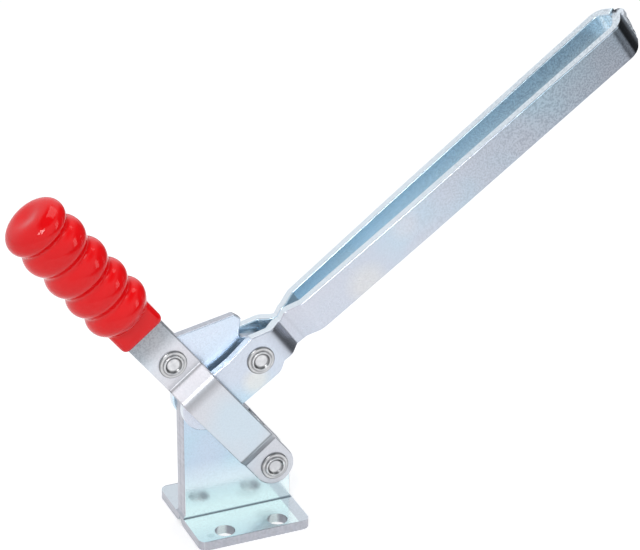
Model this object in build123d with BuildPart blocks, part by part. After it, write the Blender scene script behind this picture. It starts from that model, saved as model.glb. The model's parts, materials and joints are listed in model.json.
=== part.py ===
from build123d import *

import os
from math import asin, atan2, cos, degrees, hypot, radians, sin

os.makedirs("parts", exist_ok=True)

# Vertical-handle toggle clamp, shown half open.
# Origin: centre of the base's underside. X runs towards the arm's tip, Z is up,
# and the two halves mirror each other across Y = 0. "Near" is the -Y side.
# All lengths in millimetres, all angles in degrees.

# ---------------------------------------------------------------- sheet metal
base_gauge = 4.0
arm_gauge = 4.0
link_gauge = 4.0
handle_gauge = 3.5
bend_radius = 3.0  # at mid-thickness, for every offset bend
edge_round = 0.6  # tumbled edge of the cut sheet
side_play = 0.1  # running gap beside each sheet that turns
pin_play = 0.05  # radial running clearance on a pivot

# ---------------------------------------------------------------- pivots
bush_radius = 4.5
flange_radius = 5.95
flange_thickness = 0.8
shank_radius = 3.0
head_radius = 4.3
head_height = 0.8
recess_radius = 2.5
recess_depth = 0.5

# ---------------------------------------------------------------- base
web_length = 47.4
foot_length = 48.8
foot_flare_height = 5.0  # web's ends flare out to the foot below this
foot_width = 49.6
foot_bend_radius = 2.4  # at mid-thickness
foot_corner_radius = 3.6
bolt_spacing_x = 23.4
bolt_spacing_y = 38.0
bolt_hole_radius = 4.25
arm_ear_radius = 8.9
handle_ear_radius = 8.5
arm_pivot_height = 56.6
handle_pivot_height = 22.8

# ---------------------------------------------------------------- handle
handle_angle = 128.05  # handle's direction above +X in the pose shown
handle_width = 17.5
head_clearance = 0.5  # handle's wide part over the arm pivot's head
lower_joggle_gap = 2.2  # beyond the base's ear
lower_joggle_length = 6.5
upper_joggle_gap = 0.1  # beyond the arm's heel
upper_joggle_length = 6.1
link_gap = 0.4  # joggle's end to the link's heel
tang_length = 60.7  # inside the grip

# ---------------------------------------------------------------- grip
collar_gap = 18.9  # from the link pivot
collar_length = 10.3
collar_width = 21.0
collar_depth = 15.6
collar_corner_radius = 5.0
ring_pitches = (12.0, 12.6, 13.5, 13.8)  # from the collar outwards
ring_radius = 13.9
valley_radius = 12.0
cap_length = 10.6
cap_radius = 13.6
cap_crown = 0.4  # share of the cap's length to its widest circle
cap_shoulder = (0.78, 0.86)  # shares of the cap's length and radius
cap_rim = 0.55  # share of the cap's radius where the dent starts
cap_dent = 0.8
pocket_play = 0.1

# ---------------------------------------------------------------- link
link_half_width = 8.0
link_rear_radius = 8.4
link_travel = (-3.2, 2.1)  # slot's run either side of the arm pivot
slot_play = 1.95  # sideways room for the pin in the slot
wing_heel = -2.2
wing_start = (2.3, 10.4)
wing_tip = (26.1, 18.2)
wing_chamfer_drop = 1.8
wing_end = 29.3
wing_fillet = 2.0

# ---------------------------------------------------------------- arm
arm_angle = 36.0  # arm's direction above +X in the pose shown
arm_crank = 29.3  # base pivot to link pivot
arm_rear_radius = 10.2
fork_top_start = (19.7, 9.5)
fork_top_corner = (32.2, 10.8)
fork_top_end = (36.6, 9.0)
fork_bottom = -11.2
fork_bottom_corners = (27.0, 32.5)
fork_bottom_end = (36.6, -8.4)
fork_corner_radius = 5.0
fork_end = 40.0
neck_start = 44.4
neck_end = 50.6
neck_top_corner = (46.2, 5.2)
neck_bottom_corner = (47.3, -9.3)
bar_start = 57.0
bar_middle = 115.0
bar_middle_radius = 600.0
bar_end = 228.6
bar_top_start = 49.3
bar_top = 6.7
bar_bottom_start = 60.0
bar_bottom = -9.9
slot_half_start = 3.5
slot_half_middle = 4.9
slot_half_end = 6.2
tip_angle = 58.0
tip_run = 7.3
tip_bend_radius = 6.0
tip_corner_radius = 3.0
weld_front_top = 237.0
weld_front_bottom = 235.2
weld_drop = 1.2  # weld's ends inside the strips' edges
weld_round = 1.0
spacer_radius = 7.2


# ---------------------------------------------------------------- derived levels
# Distances from the mid-plane to the faces of each sheet.
fork_inner = base_gauge + side_play
fork_outer = fork_inner + arm_gauge
link_face = link_gauge / 2
handle_foot_inner = base_gauge + side_play
handle_foot_outer = handle_foot_inner + handle_gauge
handle_head_inner = link_face + side_play
handle_head_outer = handle_head_inner + handle_gauge
head_stack = flange_thickness + head_height
handle_wide_inner = fork_outer + side_play + head_stack + head_clearance

# Pivot centres in the XZ plane.
handle_pivot = (web_length / 2 - handle_ear_radius, handle_pivot_height)
arm_pivot = (arm_ear_radius - web_length / 2, arm_pivot_height)
ear_run = (handle_pivot[0] - arm_pivot[0], arm_pivot[1] - handle_pivot[1])

# Stations along the handle from its base pivot: each follows from the pieces it clears.
lower_joggle_start = handle_ear_radius + lower_joggle_gap
lower_joggle_end = lower_joggle_start + lower_joggle_length
upper_joggle_start = hypot(*ear_run) + arm_rear_radius + upper_joggle_gap
upper_joggle_end = upper_joggle_start + upper_joggle_length
handle_crank = upper_joggle_end + link_rear_radius + link_gap
collar_start = handle_crank + collar_gap
tang_end = collar_start + tang_length

handle_link_pivot = (
    handle_pivot[0] + handle_crank * cos(radians(handle_angle)),
    handle_pivot[1] + handle_crank * sin(radians(handle_angle)),
)
arm_link_pivot = (
    arm_pivot[0] + arm_crank * cos(radians(arm_angle)),
    arm_pivot[1] + arm_crank * sin(radians(arm_angle)),
)
link_run = (
    arm_link_pivot[0] - handle_link_pivot[0],
    arm_link_pivot[1] - handle_link_pivot[1],
)
link_length = hypot(*link_run)
link_angle = degrees(atan2(link_run[1], link_run[0]))


def side_plane(pivot, angle):
    """Mid-plane with its origin on a pivot and local X at an angle above +X.

    Local Y is square to it and the normal points to the near side.
    """
    turn = radians(angle)
    return Plane(
        origin=(pivot[0], 0, pivot[1]),
        x_dir=(cos(turn), 0, sin(turn)),
        z_dir=(0, -1, 0),
    )


def edge_plane(pivot, angle):
    """Plane that holds a sheet's bent section: local X along the sheet, local Y outwards."""
    turn = radians(angle)
    return Plane(
        origin=(pivot[0], 0, pivot[1]),
        x_dir=(cos(turn), 0, sin(turn)),
        z_dir=(sin(turn), 0, -cos(turn)),
    )


def rim_edges(sheet):
    """Edges along both sides of a sheet's cut outline, short of the base's foot."""
    cut_faces = sheet.faces().filter_by(lambda face: abs(face.normal_at().Y) < 0.1)
    rims = cut_faces.edges().filter_by(lambda edge: abs((edge % 0.5).Y) < 0.9)
    return rims.filter_by(lambda edge: (edge @ 0.5).Z > foot_flare_height)


def pivot_axis(pivot):
    """Axis of a pivot, towards the near side."""
    return Axis((pivot[0], 0, pivot[1]), (0, -1, 0))


def radial_plane(pivot):
    """Plane through a pivot's axis: local X is the radius, local Y runs to the near side."""
    return Plane(origin=(pivot[0], 0, pivot[1]), x_dir=(1, 0, 0), z_dir=(0, 0, -1))


def make_bush(pivot, inner, seat):
    """Near flanged bush.

    The barrel runs from inner to seat, and the flange lies outside seat.
    """
    with BuildPart() as bush:
        with BuildSketch(radial_plane(pivot)):
            with BuildLine():
                Polyline(
                    (shank_radius, inner),
                    (bush_radius, inner),
                    (bush_radius, seat),
                    (flange_radius, seat),
                    (flange_radius, seat + flange_thickness * 0.6),
                    (flange_radius - flange_thickness * 0.4, seat + flange_thickness),
                    (shank_radius, seat + flange_thickness),
                    close=True,
                )
            make_face()
        revolve(axis=pivot_axis(pivot))
    return bush


def make_rivet(pivot, seat):
    """Rivet with a raised ring and a flat recess on both heads, clenched on flanges at seat."""
    top = seat + head_height
    floor = top - recess_depth
    rim = recess_radius + recess_depth * 0.6
    crown = head_radius - head_height * 0.5
    with BuildPart() as rivet:
        with BuildSketch(radial_plane(pivot)):
            with BuildLine():
                Polyline((shank_radius, 0), (0, 0), (0, floor), (recess_radius, floor), (rim, top))
                Line((rim, top), (crown, top))
                TangentArc((crown, top), (head_radius, top - head_height * 0.5), tangent=(1, 0))
                Polyline(
                    (head_radius, top - head_height * 0.5),
                    (head_radius, seat),
                    (shank_radius, seat),
                    (shank_radius, 0),
                )
            make_face()
        revolve(axis=pivot_axis(pivot))
        mirror(about=Plane.XZ)
    return rivet


# ================================================================ base plates
# Angle at which the web's sloping edge leaves both ears.
slope_angle = degrees(
    atan2(ear_run[0], ear_run[1]) + asin((arm_ear_radius - handle_ear_radius) / hypot(*ear_run))
)
# Two plates back to back, each bent out into a foot, welded through the web.
with BuildPart() as base_plate_near:
    with BuildSketch(Plane.YZ):
        with BuildLine():
            web = FilletPolyline(
                (-base_gauge / 2, arm_pivot_height + arm_ear_radius),
                (-base_gauge / 2, base_gauge / 2),
                (-foot_width / 2, base_gauge / 2),
                radius=foot_bend_radius,
            )
        trace(web, line_width=base_gauge)
    extrude(amount=foot_length / 2, both=True)
    with BuildSketch(Plane.XZ):
        with BuildLine():
            arm_ear = CenterArc(arm_pivot, arm_ear_radius, slope_angle, 180 - slope_angle)
            handle_ear = CenterArc(handle_pivot, handle_ear_radius, 0, slope_angle)
            Polyline(
                handle_ear @ 0,
                (web_length / 2, foot_flare_height),
                (foot_length / 2, base_gauge),
                (foot_length / 2, 0),
                (-foot_length / 2, 0),
                (-foot_length / 2, base_gauge),
                (-web_length / 2, foot_flare_height),
                arm_ear @ 1,
            )
            Line(arm_ear @ 0, handle_ear @ 1)
        make_face()
    extrude(amount=foot_width / 2, mode=Mode.INTERSECT)
    fillet(
        base_plate_near.edges().filter_by(Axis.Z).group_by(Axis.Y)[0],
        radius=foot_corner_radius,
    )
    with BuildSketch(Plane.XY):
        with GridLocations(bolt_spacing_x, bolt_spacing_y, 2, 2):
            Circle(bolt_hole_radius)
    extrude(amount=base_gauge, mode=Mode.SUBTRACT)
    fillet(rim_edges(base_plate_near), radius=edge_round)
    with BuildSketch(Plane.XZ):
        with Locations(handle_pivot, arm_pivot):
            Circle(bush_radius)
    extrude(amount=base_gauge, mode=Mode.SUBTRACT)

with BuildPart() as base_plate_far:
    mirror(base_plate_near.part, about=Plane.XZ)

# ================================================================ base pivots
handle_pivot_bush_near = make_bush(handle_pivot, 0, handle_foot_outer + side_play)
arm_pivot_bush_near = make_bush(arm_pivot, 0, fork_outer + side_play)
handle_pivot_rivet = make_rivet(handle_pivot, handle_foot_outer + side_play + flange_thickness)
arm_pivot_rivet = make_rivet(arm_pivot, fork_outer + side_play + flange_thickness)

with BuildPart() as handle_pivot_bush_far:
    mirror(handle_pivot_bush_near.part, about=Plane.XZ)

with BuildPart() as arm_pivot_bush_far:
    mirror(arm_pivot_bush_near.part, about=Plane.XZ)

# ================================================================ handle plates
# The sheet stands off around the arm's pivot and closes in on the link.
with BuildPart() as handle_plate_near:
    with BuildSketch(edge_plane(handle_pivot, handle_angle)):
        with BuildLine():
            bent = FilletPolyline(
                (-handle_width, handle_foot_inner + handle_gauge / 2),
                (lower_joggle_start, handle_foot_inner + handle_gauge / 2),
                (lower_joggle_end, handle_wide_inner + handle_gauge / 2),
                (upper_joggle_start, handle_wide_inner + handle_gauge / 2),
                (upper_joggle_end, handle_head_inner + handle_gauge / 2),
                (tang_end, handle_head_inner + handle_gauge / 2),
                radius=bend_radius,
            )
        trace(bent, line_width=handle_gauge)
    extrude(amount=handle_width, both=True)
    with BuildSketch(side_plane(handle_pivot, handle_angle)):
        Circle(handle_width / 2)
        Rectangle(tang_end, handle_width, align=(Align.MIN, Align.CENTER))
    extrude(amount=handle_wide_inner + handle_gauge, mode=Mode.INTERSECT)
    fillet(rim_edges(handle_plate_near), radius=edge_round)
    with BuildSketch(side_plane(handle_pivot, handle_angle)):
        Circle(bush_radius + pin_play)
        with Locations((handle_crank, 0)):
            Circle(bush_radius)
    extrude(amount=handle_wide_inner, mode=Mode.SUBTRACT)

with BuildPart() as handle_plate_far:
    mirror(handle_plate_near.part, about=Plane.XZ)

handle_link_bush_near = make_bush(handle_link_pivot, 0, handle_head_outer)
handle_link_rivet = make_rivet(handle_link_pivot, handle_head_outer + flange_thickness)

with BuildPart() as handle_link_bush_far:
    mirror(handle_link_bush_near.part, about=Plane.XZ)

# ================================================================ grip
rings_start = collar_start + collar_length
cap_start = rings_start + sum(ring_pitches)
grip_end = cap_start + cap_length
grip_plane = side_plane(handle_pivot, handle_angle)
collar_plane = Plane(
    origin=grip_plane.from_local_coords((collar_start, 0, 0)),
    x_dir=(0, 1, 0),
    z_dir=grip_plane.x_dir,
)
with BuildPart() as grip:
    with BuildSketch(grip_plane):
        with BuildLine():
            valley = rings_start
            for pitch in ring_pitches:
                ThreePointArc(
                    (valley, valley_radius),
                    (valley + pitch / 2, ring_radius),
                    (valley + pitch, valley_radius),
                )
                valley += pitch
            cap = ThreePointArc(
                (cap_start, valley_radius),
                (cap_start + cap_length * cap_crown, cap_radius),
                (cap_start + cap_length * cap_shoulder[0], cap_radius * cap_shoulder[1]),
            )
            lip = TangentArc(cap @ 1, (grip_end, cap_radius * cap_rim), tangent=cap % 1)
            dent = TangentArc((grip_end - cap_dent, 0), lip @ 1, tangent=(0, 1))
            Polyline(dent @ 0, (rings_start, 0), (rings_start, valley_radius))
        make_face()
    revolve(axis=Axis(grip_plane.origin, grip_plane.x_dir))
    with BuildSketch(collar_plane):
        RectangleRounded(collar_depth, collar_width, collar_corner_radius)
    extrude(amount=collar_length + ring_pitches[0] / 2)
    with BuildSketch(collar_plane):
        Rectangle(2 * handle_head_outer, handle_width + 2 * pocket_play)
    extrude(amount=tang_end - collar_start, mode=Mode.SUBTRACT)

# ================================================================ link
# One plate between the handle's sheets and inside the arm's fork.
with BuildPart() as link_plate:
    with BuildSketch(side_plane(handle_link_pivot, link_angle)):
        nose = link_length + link_travel[1]
        Circle(link_rear_radius)
        with Locations((nose, 0)):
            Circle(link_half_width)
        with BuildLine():
            Polyline(
                (0, -link_half_width),
                (nose, -link_half_width),
                (nose, link_half_width),
                (wing_end, link_half_width),
                (wing_end, wing_tip[1] - wing_chamfer_drop),
                wing_tip,
                wing_start,
                (wing_heel, link_half_width),
                close=True,
            )
        make_face()
        with BuildLine():
            Polyline(
                (wing_end, link_half_width),
                (wing_end + wing_fillet, link_half_width),
                (wing_end, link_half_width + wing_fillet),
                close=True,
            )
        make_face()
        with Locations((wing_end + wing_fillet, link_half_width + wing_fillet)):
            Circle(wing_fillet, mode=Mode.SUBTRACT)
    extrude(amount=link_face, both=True)
    fillet(rim_edges(link_plate), radius=edge_round)
    with BuildSketch(side_plane(handle_link_pivot, link_angle)):
        Circle(bush_radius + pin_play)
        with Locations((link_length + (link_travel[0] + link_travel[1]) / 2, 0)):
            SlotCenterToCenter(
                link_travel[1] - link_travel[0],
                2 * (shank_radius + slot_play),
            )
    extrude(amount=link_face, both=True, mode=Mode.SUBTRACT)

# ================================================================ arm
# Fork around the base, pinched neck, then two legs that leave a slot between them.
leg_level = arm_gauge / 2
with BuildPart() as arm_strip_near:
    with BuildSketch(edge_plane(arm_pivot, arm_angle)):
        with BuildLine():
            bent = FilletPolyline(
                (-2 * arm_rear_radius, fork_inner + leg_level),
                (fork_end, fork_inner + leg_level),
                (neck_start, leg_level),
                (neck_end, leg_level),
                (bar_start, slot_half_start + leg_level),
                (bar_middle, slot_half_middle + leg_level),
                (bar_end, slot_half_end + leg_level),
                (
                    bar_end + tip_run * cos(radians(tip_angle)),
                    slot_half_end + leg_level - tip_run * sin(radians(tip_angle)),
                ),
                radius=(
                    bend_radius,
                    bend_radius,
                    bend_radius,
                    bend_radius,
                    bar_middle_radius,
                    tip_bend_radius,
                ),
            )
        trace(bent, line_width=arm_gauge)
    extrude(amount=2 * arm_rear_radius, both=True)
    with BuildSketch(side_plane(arm_pivot, arm_angle)) as arm_outline:
        with BuildLine():
            Polyline(
                (0, -arm_rear_radius),
                (fork_bottom_corners[0], fork_bottom),
                (fork_bottom_corners[1], fork_bottom),
                fork_bottom_end,
                neck_bottom_corner,
                (bar_bottom_start, bar_bottom),
                (bar_end + tip_run, bar_bottom),
                (bar_end + tip_run, bar_top),
                (bar_top_start, bar_top),
                neck_top_corner,
                fork_top_end,
                fork_top_corner,
                fork_top_start,
                (0, arm_rear_radius),
                close=True,
            )
        make_face()
        Circle(arm_rear_radius)
        fillet(arm_outline.vertices().sort_by(Axis.X)[-2:], radius=tip_corner_radius)
        fillet(arm_outline.vertices().sort_by(Axis.Y)[:2], radius=fork_corner_radius)
    extrude(amount=2 * fork_outer, mode=Mode.INTERSECT)
    fillet(rim_edges(arm_strip_near), radius=edge_round)
    with BuildSketch(side_plane(arm_pivot, arm_angle)):
        Circle(bush_radius + pin_play)
        with Locations((arm_crank, 0)):
            Circle(bush_radius)
    extrude(amount=2 * fork_outer, mode=Mode.SUBTRACT)

with BuildPart() as arm_strip_far:
    mirror(arm_strip_near.part, about=Plane.XZ)

# Weld bead that fills the vee between the two square-cut ends and stands proud of them.
end_x = bar_end + tip_run * cos(radians(tip_angle))
end_y = slot_half_end + leg_level - tip_run * sin(radians(tip_angle))
half_x = leg_level * sin(radians(tip_angle))
half_y = leg_level * cos(radians(tip_angle))
weld_ends = (
    (bar_top - weld_drop, weld_front_top),
    (bar_bottom + weld_drop, weld_front_bottom),
)
with BuildPart() as arm_tip_weld:
    for level, front in weld_ends:
        with BuildSketch(edge_plane(arm_pivot, arm_angle).offset(-level)):
            with BuildLine():
                Polyline(
                    (end_x + half_x, end_y + half_y),
                    (end_x - half_x, end_y - half_y),
                    (end_x - half_x, half_y - end_y),
                    (end_x + half_x, -half_y - end_y),
                )
                ThreePointArc(
                    (end_x + half_x, -half_y - end_y),
                    (front, 0),
                    (end_x + half_x, end_y + half_y),
                )
            make_face()
    loft()
    fillet(arm_tip_weld.edges().filter_by(GeomType.CIRCLE), radius=weld_round)

# ================================================================ open pivot
# The pin is clenched in the fork, with a washer each side of the link.
arm_link_bush_near = make_bush(arm_link_pivot, fork_inner, fork_outer)
arm_link_rivet = make_rivet(arm_link_pivot, fork_outer + flange_thickness)

with BuildPart() as arm_link_bush_far:
    mirror(arm_link_bush_near.part, about=Plane.XZ)

with BuildPart() as link_spacer_near:
    with BuildSketch(side_plane(arm_link_pivot, 0).offset(link_face + side_play)):
        Circle(spacer_radius)
        Circle(shank_radius, mode=Mode.SUBTRACT)
    extrude(amount=fork_inner - link_face - side_play)

with BuildPart() as link_spacer_far:
    mirror(link_spacer_near.part, about=Plane.XZ)

# ================================================================ output
pieces = {
    "base_plate_near": base_plate_near,
    "base_plate_far": base_plate_far,
    "handle_pivot_bush_near": handle_pivot_bush_near,
    "handle_pivot_bush_far": handle_pivot_bush_far,
    "handle_pivot_rivet": handle_pivot_rivet,
    "arm_pivot_bush_near": arm_pivot_bush_near,
    "arm_pivot_bush_far": arm_pivot_bush_far,
    "arm_pivot_rivet": arm_pivot_rivet,
    "handle_plate_near": handle_plate_near,
    "handle_plate_far": handle_plate_far,
    "handle_link_bush_near": handle_link_bush_near,
    "handle_link_bush_far": handle_link_bush_far,
    "handle_link_rivet": handle_link_rivet,
    "grip": grip,
    "link_plate": link_plate,
    "arm_strip_near": arm_strip_near,
    "arm_strip_far": arm_strip_far,
    "arm_tip_weld": arm_tip_weld,
    "arm_link_bush_near": arm_link_bush_near,
    "arm_link_bush_far": arm_link_bush_far,
    "arm_link_rivet": arm_link_rivet,
    "link_spacer_near": link_spacer_near,
    "link_spacer_far": link_spacer_far,
}
for label, piece in pieces.items():
    piece.part.label = label
    export_step(piece.part, f"parts/{label}.step")
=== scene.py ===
"""Studio scene of a vertical-handle toggle clamp, shown half open."""

import json
import logging
import math
from dataclasses import dataclass, field
from enum import Enum

import bpy
from mathutils import Matrix, Vector


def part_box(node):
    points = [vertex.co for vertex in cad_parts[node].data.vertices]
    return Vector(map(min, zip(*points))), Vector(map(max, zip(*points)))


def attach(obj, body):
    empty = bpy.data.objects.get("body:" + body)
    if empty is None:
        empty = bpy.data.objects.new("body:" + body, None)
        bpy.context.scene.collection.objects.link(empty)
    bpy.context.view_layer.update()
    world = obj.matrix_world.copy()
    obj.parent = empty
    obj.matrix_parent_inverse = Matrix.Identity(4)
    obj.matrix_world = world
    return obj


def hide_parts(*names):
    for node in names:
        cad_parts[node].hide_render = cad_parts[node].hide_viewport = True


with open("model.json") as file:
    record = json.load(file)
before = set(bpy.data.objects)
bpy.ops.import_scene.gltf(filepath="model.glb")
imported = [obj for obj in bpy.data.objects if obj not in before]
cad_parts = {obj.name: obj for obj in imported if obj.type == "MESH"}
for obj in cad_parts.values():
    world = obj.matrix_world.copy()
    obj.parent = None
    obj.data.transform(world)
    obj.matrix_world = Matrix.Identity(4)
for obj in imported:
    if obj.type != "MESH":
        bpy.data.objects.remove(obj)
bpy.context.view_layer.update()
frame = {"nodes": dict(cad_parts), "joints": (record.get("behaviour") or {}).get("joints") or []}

LOG = logging.getLogger("toggle_clamp")

MM = 0.001
SIDES = ("near", "far")

# Rise of each strip from its hinge at rest, in degrees above +X.
HANDLE_ANGLE = 128.05
ARM_ANGLE = 36.0

Colour = tuple[float, float, float]
Point = tuple[float, float, float]
Span = tuple[float, float]
Stops = tuple[tuple[float, float], ...]
Profile = list[tuple[float, float]]
Wire = bpy.types.NodeSocket

WHITE: Colour = (1.0, 1.0, 1.0)
RISING: Span = (0.0, 1.0)
FALLING: Span = (1.0, 0.0)


def hinge_place(name: str) -> Point:
    """Place of one of the frame's hinges, in metres."""
    return next(tuple(joint["pos_m"]) for joint in frame["joints"] if joint["name"] == name)


def greys(stops: Stops, length: float) -> list[tuple[float, Colour]]:
    """Stops of a grey ramp over a distance.

    Args:
        stops: distance in millimetres and grey of each stop.
        length: distance at the ramp's end, in metres.

    Returns:
        The place from 0 to 1 and the colour of each stop.
    """
    return [(at * MM / length, (grey, grey, grey)) for at, grey in stops]


class Socket(Enum):
    """Blender's names of the shader inputs the finishes use."""

    COLOUR = "Base Color"
    METAL = "Metallic"
    ROUGH = "Roughness"
    NORMAL = "Normal"
    SPECULAR = "Specular IOR Level"
    GLOW_COLOUR = "Emission Color"
    GLOW = "Emission Strength"


class MixSocket(Enum):
    """Places of the colour sockets on Blender's Mix node."""

    FACTOR = 0
    FIRST = 6
    SECOND = 7
    RESULT = 2


@dataclass(frozen=True)
class Noise:
    """A noise over a piece: waves per metre, octaves and the weight of the finer ones."""

    scale: float
    detail: float = 3.0
    roughness: float = 0.5


@dataclass(frozen=True)
class Relief:
    """A bump: its share, and the height in metres that a full noise stands for."""

    share: float
    height: float


class NodeTree:
    """Short ways to write nodes into a material or a world."""

    def __init__(self, tree: bpy.types.NodeTree) -> None:
        """Empty a tree.

        Args:
            tree: the material's or world's tree.
        """
        self.nodes = tree.nodes
        self.links = tree.links
        self.nodes.clear()

    def node(self, kind: str, **settings: object) -> bpy.types.Node:
        """Add a node.

        Args:
            kind: Blender's type of node, without its ShaderNode prefix.
            settings: the node's own settings.

        Returns:
            The node.
        """
        node = self.nodes.new(f"ShaderNode{kind}")
        for key, value in settings.items():
            setattr(node, key, value)
        return node

    def feed(self, target: Wire, value: Wire | float | Colour) -> None:
        """Link a socket to an input, or write a fixed value on it.

        Args:
            target: the input.
            value: a socket, a number, or a colour or vector.
        """
        if isinstance(value, Wire):
            self.links.new(value, target)
        else:
            target.default_value = (*value, 1.0) if target.type == "RGBA" else value

    def span(
        self, source: Wire, given: Span, wanted: Span = RISING, smooth: bool = False
    ) -> Wire:
        """Map a span of values onto another, clamped.

        Args:
            source: the value.
            given: the two values that give the wanted ones.
            wanted: the result at each of them.
            smooth: ease in and out between them.

        Returns:
            The mapped value.
        """
        node = self.node("MapRange", interpolation_type="SMOOTHSTEP" if smooth else "LINEAR")
        self.feed(node.inputs["Value"], source)
        for name, value in zip(("From Min", "From Max", "To Min", "To Max"), (*given, *wanted)):
            node.inputs[name].default_value = value
        return node.outputs["Result"]

    def mix(
        self, factor: Wire | float, first: Wire | Colour, second: Wire | Colour,
        blend: str = "MIX",
    ) -> Wire:
        """Mix two colours.

        Args:
            factor: the share of the second colour.
            first: the first colour, or its socket.
            second: the second colour, or its socket.
            blend: Blender's blend type.

        Returns:
            The mixed colour.
        """
        node = self.node("Mix", data_type="RGBA", blend_type=blend)
        self.feed(node.inputs[MixSocket.FACTOR.value], factor)
        self.feed(node.inputs[MixSocket.FIRST.value], first)
        self.feed(node.inputs[MixSocket.SECOND.value], second)
        return node.outputs[MixSocket.RESULT.value]

    def math(self, operation: str, first: Wire | float, second: Wire | float = 0.0) -> Wire:
        """Work out one value from one or two others.

        Args:
            operation: Blender's name of the operation.
            first: the first value or socket.
            second: the second value or socket.

        Returns:
            The result.
        """
        node = self.node("Math", operation=operation)
        self.feed(node.inputs[0], first)
        self.feed(node.inputs[1], second)
        return node.outputs[0]

    def separate(self, source: Wire, axis: str) -> Wire:
        """Take one axis of a vector.

        Args:
            source: the vector.
            axis: X, Y or Z.

        Returns:
            The value along that axis.
        """
        node = self.node("SeparateXYZ")
        self.feed(node.inputs[0], source)
        return node.outputs[axis]

    def background(self, colour: Colour, strength: Wire | float) -> Wire:
        """Add an even light from all round.

        Args:
            colour: the light's colour.
            strength: its strength.

        Returns:
            The light's shader.
        """
        node = self.node("Background")
        self.feed(node.inputs["Color"], colour)
        self.feed(node.inputs["Strength"], strength)
        return node.outputs[0]

    def either(self, factor: Wire, first: Wire, second: Wire) -> Wire:
        """Choose between two shaders.

        Args:
            factor: 0 for the first, 1 for the second.
            first: the first shader.
            second: the second shader.

        Returns:
            The chosen shader.
        """
        node = self.node("MixShader")
        for target, source in zip(node.inputs, (factor, first, second)):
            self.feed(target, source)
        return node.outputs[0]


class FinishTree(NodeTree):
    """One material's tree, round a Principled shader."""

    def __init__(self, name: str) -> None:
        """Start a material.

        Args:
            name: the material's name.
        """
        self.material = bpy.data.materials.new(name)
        self.material.use_nodes = True
        super().__init__(self.material.node_tree)
        self.shader = self.node("BsdfPrincipled")
        self.feed(self.node("OutputMaterial").inputs["Surface"], self.shader.outputs[0])
        texture = self.node("TexCoord")
        self.coordinates = texture.outputs["Object"]
        self.normal = texture.outputs["Normal"]

    def shade(self, socket: Socket, value: Wire | float | Colour) -> None:
        """Link or write one of the shader's inputs."""
        self.feed(self.shader.inputs[socket.value], value)

    def along(self, axis: str) -> Wire:
        """Place along one of the piece's axes, in metres."""
        return self.separate(self.coordinates, axis)

    def facing(self, axis: str) -> Wire:
        """Share of the surface's normal along one axis, from -1 to 1."""
        return self.separate(self.normal, axis)

    def magnitude(self, source: Wire) -> Wire:
        """Value without its sign."""
        return self.math("ABSOLUTE", source)

    def turned(self, angle: float, origin: Point) -> Wire:
        """Object coordinates whose X runs along a line in the XZ plane.

        Args:
            angle: the line's angle above +X in degrees.
            origin: the point that reads zero, in metres.

        Returns:
            The turned coordinates.
        """
        node = self.node("Mapping", vector_type="TEXTURE")
        self.feed(node.inputs["Location"], origin)
        self.feed(node.inputs["Rotation"], (0.0, -math.radians(angle), 0.0))
        self.feed(node.inputs["Vector"], self.coordinates)
        return node.outputs["Vector"]

    def stretched(self, source: Wire, scale: Point) -> Wire:
        """Multiply coordinates along each axis.

        Args:
            source: the coordinates.
            scale: the factor along each axis.

        Returns:
            The stretched coordinates.
        """
        node = self.node("Mapping")
        self.feed(node.inputs["Scale"], scale)
        self.feed(node.inputs["Vector"], source)
        return node.outputs["Vector"]

    def noise(self, kind: Noise, source: Wire | None = None) -> Wire:
        """Lay a noise over the piece.

        Args:
            kind: the noise's settings.
            source: coordinates in place of the piece's own.

        Returns:
            The noise, about 0.3 to 0.7.
        """
        node = self.node("TexNoise")
        node.inputs["Scale"].default_value = kind.scale
        node.inputs["Detail"].default_value = kind.detail
        node.inputs["Roughness"].default_value = kind.roughness
        self.feed(node.inputs["Vector"], source or self.coordinates)
        return node.outputs["Fac"]

    def ramp(self, source: Wire, stops: list[tuple[float, Colour]]) -> Wire:
        """Turn a value into a colour.

        Args:
            source: the value.
            stops: places from 0 to 1, each with its colour.

        Returns:
            The colour.
        """
        node = self.node("ValToRGB")
        elements = node.color_ramp.elements
        while len(elements) < len(stops):
            elements.new(0.5)
        for element, (place, colour) in zip(elements, stops):
            element.position = place
            element.color = (*colour, 1.0)
        self.feed(node.inputs["Fac"], source)
        return node.outputs["Color"]

    def bump(self, height: Wire, relief: Relief) -> None:
        """Drive the shader's normal by a height.

        Args:
            height: the height, as a share of the relief's own.
            relief: the bump's share and height.
        """
        node = self.node("Bump")
        node.inputs["Strength"].default_value = relief.share
        node.inputs["Distance"].default_value = relief.height
        self.feed(node.inputs["Height"], height)
        self.shade(Socket.NORMAL, node.outputs["Normal"])


@dataclass(frozen=True)
class Mark:
    """A soft round mark, full within its core."""

    centre: Point
    radius: float
    share: float
    tint: Colour
    core: float = 0.4

    def over(self, tree: FinishTree, skin: Wire) -> Wire:
        """Lay the mark over a colour.

        Args:
            tree: the finish's tree.
            skin: the colour under the mark.

        Returns:
            The marked colour.
        """
        distance = tree.node("VectorMath", operation="DISTANCE")
        tree.feed(distance.inputs[0], tree.coordinates)
        tree.feed(distance.inputs[1], self.centre)
        reach = (self.radius * self.core, self.radius)
        share = tree.span(distance.outputs["Value"], reach, (self.share, 0.0))
        return tree.mix(share, skin, self.tint)


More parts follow.
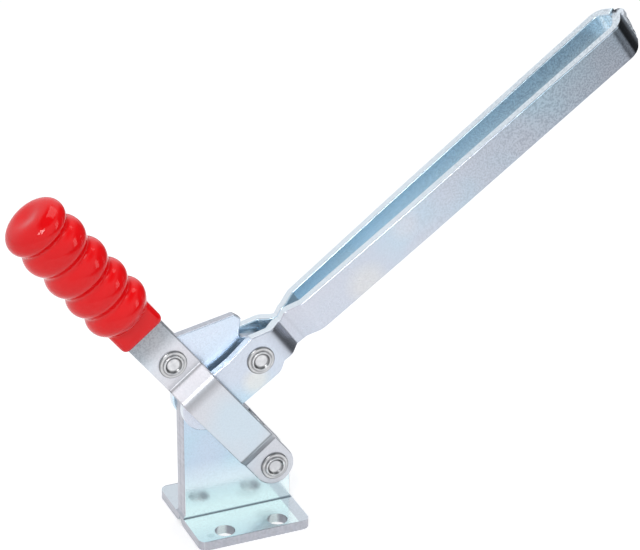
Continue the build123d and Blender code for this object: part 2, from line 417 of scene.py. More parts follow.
@dataclass(frozen=True)
class PaintedShadeAndWear:
    """Painted shade of a bent strip, at its bends and along it, and the stretch where it is worn,
    by the distance along it from a hinge.

    The stops and the worn stretch are in millimetres along the strip.
    """

    hinge: str
    angle: float
    length: float
    worn: Span
    stops: Stops

    def along(self, tree: FinishTree) -> Wire:
        """Distance along the strip, in metres."""
        return tree.separate(tree.turned(self.angle, hinge_place(self.hinge)), "X")

    def shade(self, tree: FinishTree) -> Wire:
        """Painted shade along the strip, as a grey factor."""
        share = tree.span(self.along(tree), (0.0, self.length))
        return tree.ramp(share, greys(self.stops, self.length))

    def wear(self, tree: FinishTree, most: float) -> Wire:
        """Wear along the strip, up to the share given."""
        start, end = self.worn
        return tree.span(self.along(tree), (start * MM, end * MM), (0.0, most))


@dataclass(frozen=True)
class FootPaintedLight:
    """Painted light on the webs and feet: a painted cyan-white reflection low down, painted shade
    on the far foot and the feet's +X ends, and a painted shade line in the bend.

    Sizes are in metres. Each blur is the width over which one look gives way to the next.
    """

    height: Span = (8.0 * MM, 30.0 * MM)
    # painted reflected light, cyan-white low on the webs and over the feet
    tint: Colour = (0.89, 1.0, 1.0)
    # painted shade, the dimmer grey of the far foot and the feet's +X ends
    grey: Colour = (0.66, 0.69, 0.74)
    grey_from: float = 19.0 * MM
    grey_blur: float = 0.5 * MM
    far_grey: float = 0.9
    far_blur: float = 1.0 * MM
    sheet: float = 4.0 * MM
    sheet_blur: float = 0.6 * MM
    # painted shade, a dark line along the bend between web and foot
    line: Span = (0.25 * MM, 0.8 * MM)
    crease_shade_share: float = 0.85
    crease_shade_tint: Colour = (0.16, 0.22, 0.27)

    def over(self, tree: FinishTree, skin: Wire) -> Wire:
        """Lay the painted light and shade and the bend's painted shade line over the zinc.

        Args:
            tree: the finish's tree.
            skin: the zinc's colour above the foot.

        Returns:
            The colour over the whole plate.
        """
        height, depth = tree.along("Z"), tree.along("Y")
        end = tree.span(tree.along("X"), (self.grey_from, self.grey_from + self.grey_blur))
        flat = tree.span(height, (self.sheet, self.sheet + self.sheet_blur), FALLING)
        far = tree.span(depth, (-self.far_blur, self.far_blur), (0.0, self.far_grey))
        # painted shade over the far foot and the feet's +X ends, within the painted light low on
        # the plates
        foot_shade_share = tree.math("MAXIMUM", tree.math("MULTIPLY", end, flat), far)
        foot_painted_light = tree.mix(foot_shade_share, self.tint, self.grey)
        skin = tree.mix(tree.span(height, self.height, FALLING), skin, foot_painted_light)
        # painted shade line in the bend, where web and foot meet
        climb = tree.math("ADD", height, tree.magnitude(depth))
        corner = tree.math("ADD", climb, -2.0 * self.sheet)
        return tree.mix(tree.span(corner, self.line, (self.crease_shade_share, 0.0)), skin, self.crease_shade_tint)


class Rim(Enum):
    """Where a sheet shows its cut edge."""

    ALL_ROUND = "every face square to the sheet"
    ABOVE_FOOT = "square faces above the foot, and the foot's own ends"


@dataclass(frozen=True)
class ZincSheet:
    """Bright zinc on cut sheet, passivated to a pale blue with cyan and lilac patches.

    A span holds the two values between which one look gives way to the next: of a noise
    for the patches, streaks and specks, of the normal for the rim, sides and inside.
    """

    name: str
    tints: tuple[Colour, Colour, Colour] = (
        (0.62, 0.80, 0.92),
        (0.68, 0.79, 0.92),
        (0.74, 0.79, 0.90),
    )
    tint_places: tuple[float, float, float] = (0.32, 0.5, 0.68)
    patch: Noise = Noise(26.0, 2.0, 0.45)
    patch_span: Span = (0.3, 0.7)
    # painted light, a lighter cyan tint on the faces that look toward the middle plane
    inside: Colour | None = None
    inside_span: Span = (-0.3, 0.0)
    rim: Rim = Rim.ALL_ROUND
    rim_span: Span = (0.2, 0.45)
    side_span: Span = (0.3, 0.6)
    foot_height: float = 10.0 * MM
    foot_end: float = 24.3 * MM
    # painted light and shade low on the webs and over the feet
    foot_painted_light: FootPaintedLight = FootPaintedLight()
    # painted shade along a bent strip, and the stretch where it is worn
    painted_shade_and_wear: PaintedShadeAndWear | None = None
    marks: tuple[Mark, ...] = ()
    cut_edge: Colour = (0.62, 0.63, 0.69)
    cut_depth: float = 0.6
    shear: Noise = Noise(900.0, 3.0, 0.6)
    shear_stretch: Point = (1.0, 0.12, 1.0)
    shear_span: Span = (0.35, 0.7)
    edge_wear: float = 0.45
    grain: Noise = Noise(1300.0, 2.0, 0.6)
    grain_share: float = 0.12
    grain_least: float = 0.6
    worn_grain: float = 0.45
    speck: Colour = (0.42, 0.43, 0.46)
    speck_span: Span = (0.42, 0.55)
    metal: float = 0.85
    roughness: float = 0.24
    rough_spread: Span = (-0.04, 0.06)
    edge_rough: float = 0.14
    relief: Relief = Relief(0.12, 0.12 * MM)

    def edge_share(self, tree: FinishTree) -> Wire:
        """Share of the cut edge's look over the sheet.

        Args:
            tree: the finish's tree.

        Returns:
            1 on cut edges, 0 on the sheet's faces.
        """
        square = tree.span(tree.magnitude(tree.facing("Y")), self.rim_span, FALLING)
        if self.rim is Rim.ALL_ROUND:
            return square
        above = tree.math("GREATER_THAN", tree.along("Z"), self.foot_height)
        end = tree.math("GREATER_THAN", tree.magnitude(tree.along("Y")), self.foot_end)
        side = tree.span(tree.magnitude(tree.facing("X")), self.side_span)
        low = tree.math("MAXIMUM", side, end)
        return tree.math("MAXIMUM", tree.math("MULTIPLY", square, above), low)

    def inside_light_share(self, tree: FinishTree) -> Wire:
        """Share of the faces that look toward the clamp's middle plane, which get a painted lighter
        tint.

        Args:
            tree: the finish's tree.

        Returns:
            1 on those faces, 0 on the others.
        """
        side = tree.math("SIGN", tree.along("Y"))
        outward = tree.math("MULTIPLY", tree.facing("Y"), side)
        return tree.span(outward, self.inside_span, FALLING)

    def faces(self, tree: FinishTree, patches: Wire) -> Wire:
        """Colour of the sheet's faces, with painted light and shade by the feet, along the bends
        and on the inner faces.

        Args:
            tree: the finish's tree.
            patches: the noise that the coloured patches follow.

        Returns:
            The colour, without edges, marks or grain.
        """
        skin = tree.ramp(patches, list(zip(self.tint_places, self.tints)))
        # painted light and shade by the feet
        if self.rim is Rim.ABOVE_FOOT:
            skin = self.foot_painted_light.over(tree, skin)
        # painted shade at the bends and along the strip
        if self.painted_shade_and_wear:
            skin = tree.mix(1.0, skin, self.painted_shade_and_wear.shade(tree), "MULTIPLY")
        # painted light on the faces that look toward the middle plane
        if self.inside:
            skin = tree.mix(self.inside_light_share(tree), skin, self.inside)
        return skin

    def edges(self, tree: FinishTree) -> Wire:
        """Colour of the cut edges, streaked by the shear.

        Args:
            tree: the finish's tree.

        Returns:
            The colour.
        """
        streaks = tree.noise(self.shear, tree.stretched(tree.coordinates, self.shear_stretch))
        wear = tree.span(streaks, self.shear_span, (0.0, self.edge_wear))
        return tree.mix(wear, self.cut_edge, tuple(self.cut_depth * part for part in self.cut_edge))

    def speckled(self, tree: FinishTree, patches: Wire) -> Wire:
        """Share of the dark specks, more where the sheet is worn.

        Args:
            tree: the finish's tree.
            patches: the noise that the coloured patches follow.

        Returns:
            The share.
        """
        least = self.grain_share * self.grain_least
        share = tree.span(patches, self.patch_span, (least, self.grain_share))
        if self.painted_shade_and_wear:
            share = tree.math("MAXIMUM", share, self.painted_shade_and_wear.wear(tree, self.worn_grain))
        return share

    def build(self) -> bpy.types.Material:
        """Build the finish.

        Returns:
            The material.
        """
        tree = FinishTree(self.name)
        patches = tree.noise(self.patch)
        edge = self.edge_share(tree)
        skin = tree.mix(edge, self.faces(tree, patches), self.edges(tree))
        for mark in self.marks:
            skin = mark.over(tree, skin)
        grain = tree.noise(self.grain)
        specks = tree.ramp(grain, list(zip(self.speck_span, (self.speck, WHITE))))
        share = self.speckled(tree, patches)
        tree.shade(Socket.COLOUR, tree.mix(share, skin, specks, "MULTIPLY"))
        low, high = (self.roughness + change for change in self.rough_spread)
        rough = tree.span(patches, self.patch_span, (low, high))
        edge_rough = tree.math("MULTIPLY", edge, self.edge_rough)
        tree.shade(Socket.ROUGH, tree.math("ADD", rough, edge_rough))
        tree.shade(Socket.METAL, self.metal)
        tree.bump(grain, self.relief)
        return tree.material


@dataclass(frozen=True)
class PivotSteel:
    """Turned and clenched steel of a pivot, with painted shade in its grooves.

    The rings are radii in millimetres, each with its grey: painted shade in the recess wall, in the
    groove and at the outer edge.
    """

    name: str
    centre: Point = (0.0, 0.0, 0.0)
    light: Colour = (0.80, 0.80, 0.81)
    dark: Colour = (0.64, 0.64, 0.66)
    smear: Noise = Noise(300.0)
    smear_span: Span = (0.35, 0.6)
    rough_span: Span = (0.3, 0.7)
    roughness: Span = (0.38, 0.26)
    metal: float = 0.85
    grain: Noise = Noise(900.0, 2.0)
    relief: Relief = Relief(0.1, 0.1 * MM)
    reach: float = 6.5 * MM
    # painted shade: dark in the recess wall, in the groove and at the bush's edge
    rings: Stops = (
        (2.3, 1.0),
        (2.75, 0.45),
        (3.35, 0.22),
        (3.65, 0.85),
        (4.15, 0.95),
        (4.5, 0.30),
        (4.8, 0.75),
        (5.35, 0.85),
        (5.75, 0.35),
    )

    def build(self) -> bpy.types.Material:
        """Build the finish.

        Returns:
            The material.
        """
        tree = FinishTree(self.name)
        smear = tree.noise(self.smear)
        metal = tree.ramp(smear, list(zip(self.smear_span, (self.dark, self.light))))
        flat = tree.stretched(tree.turned(0.0, self.centre), (1.0, 0.0, 1.0))
        radius = tree.node("VectorMath", operation="LENGTH")
        tree.feed(radius.inputs[0], flat)
        share = tree.span(radius.outputs["Value"], (0.0, self.reach))
        # painted shade rings round the pivot's axis
        rings = tree.ramp(share, greys(self.rings, self.reach))
        tree.shade(Socket.COLOUR, tree.mix(1.0, metal, rings, "MULTIPLY"))
        tree.shade(Socket.ROUGH, tree.span(smear, self.rough_span, self.roughness))
        tree.shade(Socket.METAL, self.metal)
        tree.bump(tree.noise(self.grain), self.relief)
        return tree.material


@dataclass(frozen=True)
class WeldSkin:
    """Plated skin of a weld that was never ground, with painted shade in its pits and in the notch
    between the strips' ends.
    """

    name: str = "weld_skin"
    light: Colour = (0.82, 0.87, 0.93)
    dark: Colour = (0.06, 0.07, 0.10)
    slag: Noise = Noise(460.0, 4.0, 0.6)
    slag_span: Span = (0.36, 0.47)
    rough_span: Span = (0.3, 0.7)
    roughness: Span = (0.5, 0.28)
    metal: float = 0.4
    relief: Relief = Relief(0.4, 0.4 * MM)
    # near-black painted shade in two pits and in the notch between the strips' ends
    pit_and_notch_shade: tuple[Mark, ...] = (
        Mark((0.1776, -0.0010, 0.1928), 1.2 * MM, 0.9, (0.03, 0.03, 0.04)),
        Mark((0.1790, -0.0015, 0.1893), 1.0 * MM, 0.9, (0.03, 0.03, 0.04)),
        Mark((0.1716, 0.0020, 0.1980), 1.8 * MM, 1.0, (0.02, 0.02, 0.03)),
    )

    def build(self) -> bpy.types.Material:
        """Build the finish.

        Returns:
            The material.
        """
        tree = FinishTree(self.name)
        slag = tree.noise(self.slag)
        skin = tree.ramp(slag, list(zip(self.slag_span, (self.dark, self.light))))
        # painted shade in the pits and the notch
        for pit_shade_mark in self.pit_and_notch_shade:
            skin = pit_shade_mark.over(tree, skin)
        tree.shade(Socket.COLOUR, skin)
        tree.shade(Socket.ROUGH, tree.span(slag, self.rough_span, self.roughness))
        tree.shade(Socket.METAL, self.metal)
        tree.bump(slag, self.relief)
        return tree.material


@dataclass(frozen=True)
class RedVinyl:
    """Glossy dipped vinyl of the grip."""

    name: str = "red_vinyl"
    red: Colour = (1.0, 0.004, 0.007)
    deep: Colour = (0.94, 0.003, 0.006)
    cloud: Noise = Noise(60.0)
    cloud_span: Span = (0.3, 0.6)
    rough_span: Span = (0.3, 0.7)
    roughness: Span = (0.05, 0.10)
    specular: float = 0.32
    dimples: Noise = Noise(120.0, 2.0, 0.4)
    relief: Relief = Relief(0.25, 0.6 * MM)

    def build(self) -> bpy.types.Material:
        """Build the finish.

        Returns:
            The material.
        """
        tree = FinishTree(self.name)
        cloud = tree.noise(self.cloud)
        red = tree.ramp(cloud, list(zip(self.cloud_span, (self.deep, self.red))))
        tree.shade(Socket.COLOUR, red)
        tree.shade(Socket.ROUGH, tree.span(cloud, self.rough_span, self.roughness))
        tree.shade(Socket.SPECULAR, self.specular)
        tree.bump(tree.noise(self.dimples), self.relief)
        return tree.material


class Workshop:
    """Modelling steps shared by the pieces."""

    CORNER_CUT = 0.25

    @staticmethod
    def pick(*pieces: bpy.types.Object) -> None:
        """Select these objects alone, the last one active.

        Args:
            pieces: the objects.
        """
        bpy.ops.object.select_all(action="DESELECT")
        for piece in pieces:
            piece.select_set(True)
            bpy.context.view_layer.objects.active = piece

    @staticmethod
    def apply(piece: bpy.types.Object, kind: str, **settings: object) -> None:
        """Add a modifier and apply it.

        Args:
            piece: the object.
            kind: Blender's modifier type.
            settings: the modifier's values.
        """
        modifier = piece.modifiers.new(kind.lower(), kind)
        for key, value in settings.items():
            setattr(modifier, key, value)
        bpy.context.view_layer.objects.active = piece
        bpy.ops.object.modifier_apply(modifier=modifier.name)

    @staticmethod
    def softened(points: Profile, rounds: int = 2) -> Profile:
        """Cut the corners of a profile, keeping its ends.

        Args:
            points: the profile's corners.
            rounds: how many times every corner is cut.

        Returns:
            The rounder profile.
        """
        near, far = 1.0 - Workshop.CORNER_CUT, Workshop.CORNER_CUT
        for _ in range(rounds):
            cut = [points[0]]
            for (a, b), (c, d) in zip(points, points[1:]):
                cut.append((a * near + c * far, b * near + d * far))
                cut.append((a * far + c * near, b * far + d * near))
            points = [*cut, points[-1]]
        return points

    @staticmethod
    def turned(
        name: str, origin: Vector, axis: Vector, profile: Profile, sides: int
    ) -> bpy.types.Object:
        """Turn a closed solid ring by ring from a disc.

        Args:
            name: the object's name.
            origin: the point of the axis that distances are taken from.
            axis: the axis, of length 1.
            profile: distance along the axis and radius of each ring.
            sides: vertices of each ring.

        Returns:
            The object.
        """
        bpy.ops.object.select_all(action="DESELECT")
        (along, radius), *rings = profile
        bpy.ops.mesh.primitive_circle_add(
            vertices=sides,
            radius=radius,
            fill_type="NGON",
            location=origin + axis * along,
            rotation=axis.to_track_quat("Z", "Y").to_euler(),
        )
        piece = bpy.context.object
        piece.name = name
        bpy.ops.object.transform_apply(location=True, rotation=True, scale=True)
        bpy.ops.object.mode_set(mode="EDIT")
        bpy.ops.mesh.select_all(action="SELECT")
        for next_along, next_radius in rings:
            bpy.ops.mesh.extrude_region_move(
                TRANSFORM_OT_translate={"value": axis * (next_along - along)}
            )
            ratio = next_radius / radius
            bpy.ops.transform.resize(
                value=(ratio, ratio, ratio), center_override=origin + axis * next_along
            )
            along, radius = next_along, next_radius
        bpy.ops.mesh.select_all(action="SELECT")
        bpy.ops.mesh.normals_make_consistent(inside=False)
        bpy.ops.object.mode_set(mode="OBJECT")
        return piece

    @staticmethod
    def finish(
        piece: bpy.types.Object, body: str, node: str, slot: str,
        material: bpy.types.Material, sharp: float = 50.0,
    ) -> None:
        """Shade a finished piece, dress it and put it in its CAD node's place.

        Args:
            piece: the object.
            body: the body it moves with.
            node: the CAD node it stands for.
            slot: not used.
            material: the finish.
            sharp: the angle in degrees above which an edge stays sharp.
        """
        Workshop.pick(piece)
        bpy.ops.object.shade_smooth_by_angle(angle=math.radians(sharp))
        piece.data.materials.clear()
        piece.data.materials.append(material)
        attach(piece, body)
        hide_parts(node)
        LOG.info("%s: %d faces, %s", piece.name, len(piece.data.polygons), material.name)

    @staticmethod
    def dress(name: str, material: bpy.types.Material) -> None:
        """Give a CAD node its finish.

        Args:
            name: the node's name.
            material: the finish.
        """
        node = frame["nodes"][name]
        node.data.materials.clear()
        node.data.materials.append(material)
        LOG.info("%s: %s", name, material.name)


@dataclass
class Pivot:
    """One pivot: a rivet clenched over two flanged bushes.

    Depths and drops are measured inwards from the crest of the rivet's head.
    """

    name: str
    body: str
    dimple_depth: float = 0.10 * MM
    dimple_radius: float = 0.3 * MM
    recess_slope: float = 0.04 * MM
    recess_flat: float = 0.7
    recess_depth: float = 0.95 * MM
    recess_radius: float = 2.75 * MM
    recess_corner: Span = (0.2 * MM, 0.25 * MM)
    wall_radius: float = 3.45 * MM
    wall_drop: float = 0.2 * MM
    crest_radius: float = 3.9 * MM
    crest_half: float = 0.15 * MM
    shoulder_drop: float = 0.3 * MM
    head_height: float = 0.8 * MM
    shank_radius: float = 3.1 * MM
    sides: int = 72

    def profile(self, top: float, head: float) -> Profile:
        """Rivet's profile from one head to the other.

        Args:
            top: distance of the head's crest from the middle plane.
            head: radius of the head.

        Returns:
            Distance along the pivot and radius of each ring.
        """
        floor = top - self.recess_depth
        seat = top - self.head_height
        corner_out, corner_up = self.recess_corner
        dish = [
            (floor - self.dimple_depth, self.dimple_radius),
            (floor - self.recess_slope, self.recess_radius * self.recess_flat),
            (floor, self.recess_radius),
            (floor + corner_up, self.recess_radius + corner_out),
            (top - self.wall_drop, self.wall_radius),
            (top, self.crest_radius - self.crest_half),
            (top, self.crest_radius + self.crest_half),
            (top - self.shoulder_drop, head),
            (seat, head),
        ]
        near = [(-along, radius) for along, radius in Workshop.softened(dish)]
        shank = [(-seat, self.shank_radius), (seat, self.shank_radius)]
        far = [(-along, radius) for along, radius in reversed(near)]
        return [*near, *shank, *far]

    def build(self) -> None:
        """Turn the rivet and dress the bushes."""
        node = f"{self.name}_rivet"
        low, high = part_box(node)
        middle = (low + high) / 2
        steel = PivotSteel(name=f"{self.name}_steel", centre=tuple(middle)).build()
        profile = self.profile((high.y - low.y) / 2, (high.x - low.x) / 2)
        axis = Vector((0.0, 1.0, 0.0))
        piece = Workshop.turned(f"{self.name}_turned_rivet", middle, axis, profile, self.sides)
        Workshop.finish(piece, self.body, node, "pivot_steel", steel)
        for side in SIDES:
            Workshop.dress(f"{self.name}_bush_{side}", steel)


@dataclass
class Grip:
    """Dipped grip: a rounded collar, four soft rings and a dented cap.

    The swell and the cap give each ring's place as a share of the pitch or of the cap's
    length, and its radius as a share of the height or of the cap's radius.
    """

    angle: float = HANDLE_ANGLE
    start: float = 89.3 * MM
    collar_length: float = 10.3 * MM
    collar_width: float = 21.0 * MM
    collar_depth: float = 15.6 * MM
    collar_bevel: float = 2.6 * MM
    collar_segments: int = 8
    collar_reach: float = 7.0 * MM
    pitches: tuple[float, ...] = (12.0 * MM, 12.6 * MM, 13.5 * MM, 13.8 * MM)
    ring_radius: float = 13.9 * MM
    ring_crest: float = 1.004
    valley_radius: float = 11.5 * MM
    root: tuple[float, float] = (0.5, 0.96)
    swell: Stops = ((0.07, 0.06), (0.15, 0.36), (0.25, 0.70), (0.37, 0.94))
    cap_radius: float = 13.6 * MM
    cap_length: float = 10.6 * MM
    cap: Stops = (
        (0.10, 0.90),
        (0.26, 0.98),
        (0.46, 1.0),
        (0.66, 0.96),
        (0.84, 0.84),
        (0.96, 0.66),
        (1.0, 0.46),
        (0.97, 0.30),
        (0.93, 0.14),
        (0.92, 0.03),
    )
    voxel: float = 0.4 * MM
    smoothing: int = 12
    sides: int = 96

    def origin(self) -> Vector:
        """Point of the grip's axis that its distances are taken from."""
        return Vector(hinge_place("handle_hinge"))

    def axis(self) -> Vector:
        """Direction of the grip away from the clamp."""
        turn = math.radians(self.angle)
        return Vector((math.cos(turn), 0.0, math.sin(turn)))

    def profile(self) -> Profile:
        """Rings and cap from the collar outwards.

        Returns:
            Distance along the grip and radius of each ring.
        """
        at = self.start + self.collar_length
        points = [(at, self.valley_radius * share) for share in self.root]
        height = self.ring_radius - self.valley_radius
        rise = [(share, self.valley_radius + height * lift) for share, lift in self.swell]
        fall = [(1.0 - share, radius) for share, radius in reversed(rise)]
        crest = (0.5, self.ring_radius * self.ring_crest)
        ring = [*rise, crest, *fall, (1.0, self.valley_radius)]
        for pitch in self.pitches:
            points += [(at + pitch * share, radius) for share, radius in ring]
            at += pitch
        points += [
            (at + self.cap_length * share, self.cap_radius * part) for share, part in self.cap
        ]
        return Workshop.softened(points)

    def collar(self) -> bpy.types.Object:
        """Rounded block round the handle's tang.

        Returns:
            The object.
        """
        bpy.ops.object.select_all(action="DESELECT")
        length = self.collar_length + self.collar_reach
        bpy.ops.mesh.primitive_cube_add(
            size=1.0,
            location=self.origin() + self.axis() * (self.start + length / 2),
            rotation=self.axis().to_track_quat("Z", "Y").to_euler(),
            scale=(self.collar_depth, self.collar_width, length),
        )
        piece = bpy.context.object
        bpy.ops.object.transform_apply(location=True, rotation=True, scale=True)
        Workshop.apply(
            piece, "BEVEL", width=self.collar_bevel, segments=self.collar_segments,
            limit_method="NONE",
        )
        return piece

    def build(self, vinyl: bpy.types.Material) -> None:
        """Model the grip and dress it.

        Args:
            vinyl: the grip's finish.
        """
        collar = self.collar()
        piece = Workshop.turned(
            "dipped_grip", self.origin(), self.axis(), self.profile(), self.sides
        )
        Workshop.pick(collar, piece)
        bpy.ops.object.join()
        Workshop.apply(piece, "REMESH", mode="VOXEL", voxel_size=self.voxel)
        Workshop.apply(piece, "SMOOTH", factor=0.5, iterations=self.smoothing)
        Workshop.finish(piece, "handle", "grip", "grip", vinyl, 180.0)


@dataclass
class TipWeld:
    """Lumpy weld that joins the arm's two strips."""

    node: str = "arm_tip_weld"
    merge: float = 0.002 * MM
    voxel: float = 0.16 * MM
    lump: float = 0.9 * MM
    lump_size: float = 2.2 * MM
    lump_octaves: int = 2
    lump_middle: float = 0.55
    smoothing: tuple[int, int] = (10, 3)

    def copied(self) -> bpy.types.Object:
        """Copy the weld's CAD mesh and merge its loose triangles.

        Returns:
            The object.
        """
        piece = bpy.data.objects.new("lumpy_weld", frame["nodes"][self.node].data.copy())
        bpy.context.collection.objects.link(piece)
        Workshop.pick(piece)
        bpy.ops.object.mode_set(mode="EDIT")
        bpy.ops.mesh.select_all(action="SELECT")
        bpy.ops.mesh.remove_doubles(threshold=self.merge)
        bpy.ops.mesh.normals_make_consistent(inside=False)
        bpy.ops.object.mode_set(mode="OBJECT")
        return piece

    def build(self, skin: bpy.types.Material) -> None:
        """Roughen the weld and dress it.

        Args:
            skin: the weld's finish.
        """
        piece = self.copied()
        lumps = bpy.data.textures.new("weld_lumps", "CLOUDS")
        lumps.noise_scale = self.lump_size
        lumps.noise_depth = self.lump_octaves
        before, after = self.smoothing
        Workshop.apply(piece, "REMESH", mode="VOXEL", voxel_size=self.voxel)
        Workshop.apply(piece, "SMOOTH", factor=0.5, iterations=before)
        Workshop.apply(
            piece, "DISPLACE", texture=lumps, strength=self.lump, mid_level=self.lump_middle
        )
        Workshop.apply(piece, "SMOOTH", factor=0.5, iterations=after)
        Workshop.finish(piece, "arm", self.node, "weld", skin, 180.0)


@dataclass
class Base:
    """The two base plates and the two pivots they carry."""

    hole_right: float = 11.7 * MM
    hole_out: float = 19.0 * MM
    hole_height: float = 1.2 * MM
    # painted shade on the bolt holes' walls: its reach and its near-black tint
    hole_shade_radius: float = 5.4 * MM
    hole_shade_tint: Colour = (0.10, 0.13, 0.16)
    stains: tuple[Mark, ...] = (
        Mark((0.0085, -0.0140, 0.0040), 6.0 * MM, 0.35, (0.56, 0.64, 0.64)),
        Mark((-0.0185, -0.0205, 0.0040), 2.2 * MM, 0.4, (0.50, 0.60, 0.62)),
    )

    def hole_wall_shade(self) -> tuple[Mark, ...]:
        """Painted shade that darkens the walls of the four bolt holes.

        Returns:
            The marks.
        """
        return tuple(
            Mark((x, y, self.hole_height), self.hole_shade_radius, 1.0, self.hole_shade_tint)
            for x in (-self.hole_right, self.hole_right)
            for y in (-self.hole_out, self.hole_out)
        )

    def sheet(self) -> ZincSheet:
        """Finish of the plates, glossier than the moving ones."""
        return ZincSheet(
            name="zinc_base",
            rim=Rim.ABOVE_FOOT,
            tints=((0.44, 0.66, 0.75), (0.51, 0.63, 0.75), (0.57, 0.62, 0.74)),
            cut_edge=(0.51, 0.52, 0.57),
            metal=0.95,
            roughness=0.17,
            # real stains, and painted shade in the bolt holes
            marks=(*self.stains, *self.hole_wall_shade()),
        )

    def build(self) -> None:
        """Dress the plates and build the pivots."""
        zinc = self.sheet().build()
        for side in SIDES:
            Workshop.dress(f"base_plate_{side}", zinc)
        Pivot("handle_pivot", "base").build()
        Pivot("arm_pivot", "base").build()


@dataclass
class Handle:
    """The two joggled handle plates, their pivot and the grip."""

    sheet: ZincSheet = ZincSheet(
        name="zinc_handle",
        tints=((0.67, 0.77, 0.85), (0.73, 0.75, 0.80), (0.76, 0.74, 0.78)),
        cut_edge=(0.70, 0.71, 0.77),
        roughness=0.34,
        painted_shade_and_wear=PaintedShadeAndWear(
            hinge="handle_hinge",
            angle=HANDLE_ANGLE,
            length=100.0 * MM,
            worn=(74.0, 88.0),
            stops=(
                # lower joggle, painted shade over it, darkest at both of its bends
                (9.8, 0.90),
                (10.6, 0.40),
                (11.4, 0.58),
                (16.4, 0.62),
                (17.2, 0.36),
                (18.0, 0.92),
                # upper joggle, painted shade on its ramp and a dark painted line at its upper bend
                (51.0, 0.92),
                (53.5, 0.70),
                (55.2, 0.60),
                (56.2, 0.70),
                (61.2, 0.80),
                (61.8, 0.30),
                (62.8, 0.85),
                (64.5, 1.0),
                # tang below the grip, painted shade darkening towards the grip, where the sheet is
                # also worn
                (76.0, 1.0),
                (83.0, 0.60),
                (92.0, 0.50),
            ),
        ),
    )
    grip: Grip = field(default_factory=Grip)

    def build(self) -> None:
        """Dress the plates and build the pivot and grip."""
        zinc = self.sheet.build()
        for side in SIDES:
            Workshop.dress(f"handle_plate_{side}", zinc)
        Pivot("handle_link", "handle").build()
        self.grip.build(RedVinyl().build())


@dataclass
class Link:
    """The link plate, mostly hidden between the handle and the arm."""

    sheet: ZincSheet = ZincSheet(name="zinc_link")

    def build(self) -> None:
        """Dress the plate."""
        Workshop.dress("link_plate", self.sheet.build())


@dataclass
class Arm:
    """The two bent arm strips, the weld at their tip, the link pivot and its spacers."""

    sheet: ZincSheet = ZincSheet(
        name="zinc_arm",
        tints=((0.58, 0.74, 0.86), (0.66, 0.72, 0.82), (0.70, 0.72, 0.80)),
        # painted light on the strips' inner faces
        inside=(0.67, 0.84, 0.95),
        cut_edge=(0.84, 0.89, 0.94),
        edge_wear=0.12,
        marks=(
            Mark((0.0068, -0.0081, 0.0647), 7.5 * MM, 0.5, (0.84, 0.81, 0.72)),
            Mark((0.0560, -0.0101, 0.1000), 11.0 * MM, 0.4, (0.84, 0.81, 0.74)),
            Mark((0.0720, -0.0101, 0.1230), 8.0 * MM, 0.4, (0.80, 0.76, 0.80)),
            # near-black painted shade in the notch between the strips' ends at the weld
            Mark((0.1716, 0.0020, 0.1980), 1.7 * MM, 1.0, (0.02, 0.02, 0.03)),
        ),
        painted_shade_and_wear=PaintedShadeAndWear(
            hinge="arm_hinge",
            angle=ARM_ANGLE,
            length=240.0 * MM,
            worn=(80.0, 190.0),
            stops=(
                # neck, from the fork's bend to the bar, with painted shade at its two bends
                (36.0, 0.96),
                (40.2, 0.80),
                (41.1, 0.42),
                (42.8, 0.44),
                (45.2, 0.88),
                (48.6, 0.90),
                (49.1, 0.66),
                (49.8, 0.92),
                # bar, painted shade a little darker towards its ends
                (85.0, 0.93),
                (120.0, 1.0),
                (180.0, 1.0),
                (215.0, 0.96),
                # bends at the tip, painted shade: a dark line at the first bend and a near-black
                # end face up to the weld
                (224.7, 0.96),
                (225.5, 0.16),
                (226.3, 0.80),
                (228.0, 0.75),
                (228.7, 0.07),
                (232.2, 0.12),
                (233.0, 0.90),
            ),
        ),
    )
    spacer: PivotSteel = PivotSteel(name="spacer_steel", rings=((0.0, 0.8), (1.0, 0.8)))
    weld: TipWeld = field(default_factory=TipWeld)

    def build(self) -> None:
        """Dress the strips and spacers and build the pivot and weld."""
        zinc = self.sheet.build()
        spacer = self.spacer.build()
        for side in SIDES:
            Workshop.dress(f"arm_strip_{side}", zinc)
            Workshop.dress(f"link_spacer_{side}", spacer)
        Pivot("arm_link", "arm").build()
        self.weld.build(WeldSkin().build())


@dataclass(frozen=True)
class Lamp:
    """A white soft box: its place and size in metres, its power in watts."""

    name: str
    place: Point
    size: Span
    power: float

    def build(self, target: Vector) -> None:
        """Hang the lamp, aimed at a point.

        Args:
            target: the point.
        """
        data = bpy.data.lights.new(self.name, "AREA")
        data.shape = "RECTANGLE"
        data.size, data.size_y = self.size
        data.energy = self.power
        lamp = bpy.data.objects.new(self.name, data)
        bpy.context.collection.objects.link(lamp)
        place = Vector(self.place)
        turn = (place - target).to_track_quat("Z", "Y").to_matrix().to_4x4()
        lamp.matrix_world = Matrix.Translation(place) @ turn


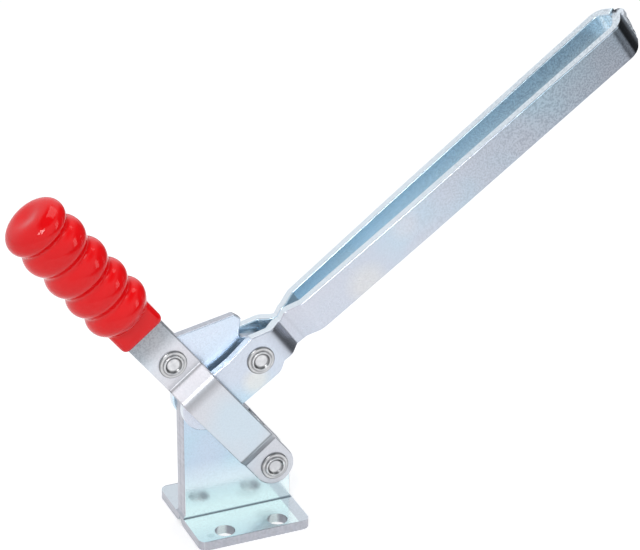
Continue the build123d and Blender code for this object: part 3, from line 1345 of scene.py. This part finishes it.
@dataclass(frozen=True)
class Floor:
    """Pale floor, white where nothing shades it, dim to the right in reflections.

    The glow holds the floor's own light where it is plain and where it is dim.
    """

    size: float = 12.0
    roughness: float = 0.9
    light: Colour = (0.8, 0.8, 0.8)
    dark: Colour = (0.08, 0.08, 0.09)
    dim_from: Span = (0.12, 0.60)
    glow: Span = (0.49, 0.06)

    def finish(self) -> bpy.types.Material:
        """Build the floor's finish.

        Returns:
            The material.
        """
        tree = FinishTree("pale_floor")
        path = tree.node("LightPath").outputs
        glossy = path["Is Glossy Ray"]
        seen = tree.math("MAXIMUM", path["Is Camera Ray"], glossy)
        seen = tree.math("MAXIMUM", seen, path["Is Transmission Ray"])
        dim = tree.math("MULTIPLY", glossy, tree.span(tree.along("X"), self.dim_from))
        tree.shade(Socket.ROUGH, self.roughness)
        tree.shade(Socket.COLOUR, tree.mix(dim, self.light, self.dark))
        tree.shade(Socket.GLOW_COLOUR, WHITE)
        tree.shade(Socket.GLOW, tree.math("MULTIPLY", seen, tree.span(dim, RISING, self.glow)))
        return tree.material

    def build(self) -> None:
        """Lay the floor."""
        bpy.ops.mesh.primitive_plane_add(size=self.size, location=(0.0, 0.0, 0.0))
        floor = bpy.context.object
        floor.name = "floor"
        floor.data.materials.append(self.finish())


@dataclass(frozen=True)
class Backdrop:
    """Pale to the eye as the floor is, white in reflections, dark right and overhead in them."""

    pale: Colour = (0.8, 0.8, 0.8)
    fill: float = 0.38
    fill_tint: Colour = (0.93, 0.96, 1.0)
    mirror: float = 1.0
    mirror_tint: Colour = (0.92, 0.97, 1.0)
    dark: float = 0.10
    dark_right: Span = (0.50, 0.85)
    dark_overhead: Span = (0.70, 0.90)

    def build(self) -> None:
        """Set up the world."""
        world = bpy.data.worlds.new("studio")
        bpy.context.scene.world = world
        world.use_nodes = True
        tree = NodeTree(world.node_tree)
        path = tree.node("LightPath").outputs
        direction = tree.node("TexCoord").outputs["Generated"]
        right, up = (tree.separate(direction, axis) for axis in "XZ")
        side = tree.span(right, self.dark_right, (self.mirror, self.dark), smooth=True)
        overhead = tree.span(up, self.dark_overhead, (1.0, self.dark), smooth=True)
        mirror = tree.background(self.mirror_tint, tree.math("MULTIPLY", side, overhead))
        fill = tree.background(self.fill_tint, self.fill)
        unseen = tree.either(path["Is Glossy Ray"], fill, mirror)
        seen = tree.math("MAXIMUM", path["Is Camera Ray"], path["Is Transmission Ray"])
        shown = tree.either(seen, unseen, tree.background(self.pale, 1.0))
        tree.feed(tree.node("OutputWorld").inputs["Surface"], shown)


@dataclass(frozen=True)
class Studio:
    """Camera, floor, backdrop and soft lights.

    Lengths are in metres, the lens and sensor in millimetres, and angles in degrees.
    """

    target: Point = (0.03577, 0.0, 0.10266)
    distance: float = 0.9991
    azimuth: float = -23.74
    elevation: float = 25.72
    roll: float = 0.44
    lens: float = 137.64
    sensor: float = 36.0
    shift: Span = (0.0097, 0.0035)
    clip_end: float = 50.0
    floor: Floor = Floor()
    backdrop: Backdrop = Backdrop()
    lamps: tuple[Lamp, ...] = (
        Lamp("key_left_pane", (-1.05, -0.95, 1.35), (0.24, 0.5), 5.0),
        Lamp("key_right_pane", (-0.75, -1.2, 1.35), (0.24, 0.5), 5.0),
        Lamp("top_softbox", (0.3, 0.3, 1.6), (1.2, 1.0), 7.0),
        Lamp("side_softbox", (1.3, -0.9, 0.7), (0.5, 0.9), 3.0),
    )

    def camera(self) -> None:
        """Place the camera."""
        turn, lift = math.radians(self.azimuth), math.radians(self.elevation)
        level = math.cos(lift)
        back = Vector((math.sin(turn) * level, -math.cos(turn) * level, math.sin(lift)))
        data = bpy.data.cameras.new("camera")
        data.lens = self.lens
        data.sensor_width = self.sensor
        data.shift_x, data.shift_y = self.shift
        data.clip_end = self.clip_end
        camera = bpy.data.objects.new("camera", data)
        bpy.context.collection.objects.link(camera)
        facing = back.to_track_quat("Z", "Y").to_matrix().to_4x4()
        rolled = facing @ Matrix.Rotation(math.radians(self.roll), 4, "Z")
        place = Vector(self.target) + back * self.distance
        camera.matrix_world = Matrix.Translation(place) @ rolled
        bpy.context.scene.camera = camera

    def build(self) -> None:
        """Set up the whole studio."""
        self.camera()
        self.floor.build()
        self.backdrop.build()
        for lamp in self.lamps:
            lamp.build(Vector(self.target))
        bpy.context.scene.view_settings.view_transform = "Standard"


def main() -> None:
    """Build the studio and the clamp's sub-assemblies in order."""
    logging.basicConfig(level=logging.INFO)
    bpy.ops.object.select_all(action="DESELECT")
    for assembly in (Studio(), Base(), Handle(), Link(), Arm()):
        assembly.build()
        LOG.info("%s built", type(assembly).__name__)


if __name__ == "__main__":
    main()
